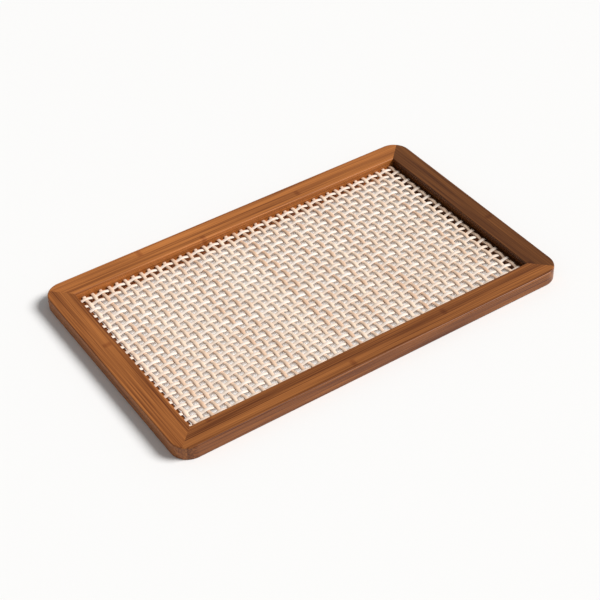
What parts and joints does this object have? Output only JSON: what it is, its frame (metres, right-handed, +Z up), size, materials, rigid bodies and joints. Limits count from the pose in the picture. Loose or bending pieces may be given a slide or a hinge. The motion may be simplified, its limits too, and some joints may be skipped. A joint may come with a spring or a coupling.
{
  "type": "gongfu tea tray",
  "caption": "Flat rectangular tea tray: a mitred bamboo frame round a recessed, open mat of plain-woven rattan strands.",
  "frame": {"origin": "middle of the underside that the tray stands on", "axes": "+X along the tray, -Y towards the front long side, +Z up"},
  "size_m": [0.29, 0.18, 0.01],
  "materials": {
    "rail_bamboo": "laminated carbonised bamboo, grain along each rail, satin clear finish",
    "spline_bamboo": "bare bamboo, hidden in the mitre joints",
    "rattan_long": "split rattan cane, pale and slightly glossy on its skin side",
    "rattan_cross": "split rattan cane, a little warmer, slightly glossy on its skin side"
  },
  "bodies": {
    "root": {"front_rail": "rail_bamboo", "rear_rail": "rail_bamboo", "left_rail": "rail_bamboo", "right_rail": "rail_bamboo", "front_left_spline": "spline_bamboo", "front_right_spline": "spline_bamboo", "rear_left_spline": "spline_bamboo", "rear_right_spline": "spline_bamboo", "long_strand_01": "rattan_long", "long_strand_02": "rattan_long", "long_strand_03": "rattan_long", "long_strand_04": "rattan_long", "long_strand_05": "rattan_long", "long_strand_06": "rattan_long", "long_strand_07": "rattan_long", "long_strand_08": "rattan_long", "long_strand_09": "rattan_long", "long_strand_10": "rattan_long", "long_strand_11": "rattan_long", "long_strand_12": "rattan_long", "long_strand_13": "rattan_long", "long_strand_14": "rattan_long", "long_strand_15": "rattan_long", "long_strand_16": "rattan_long", "long_strand_17": "rattan_long", "long_strand_18": "rattan_long", "long_strand_19": "rattan_long", "long_strand_20": "rattan_long", "long_strand_21": "rattan_long", "long_strand_22": "rattan_long", "long_strand_23": "rattan_long", "long_strand_24": "rattan_long", "cross_strands_01": "rattan_cross", "cross_strands_02": "rattan_cross", "cross_strands_03": "rattan_cross", "cross_strands_04": "rattan_cross", "cross_strands_05": "rattan_cross", "cross_strands_06": "rattan_cross", "cross_strands_07": "rattan_cross", "cross_strands_08": "rattan_cross", "cross_strands_09": "rattan_cross", "cross_strands_10": "rattan_cross", "cross_strands_11": "rattan_cross", "cross_strands_12": "rattan_cross", "cross_strands_13": "rattan_cross", "cross_strands_14": "rattan_cross"}
  },
  "joints": []
}
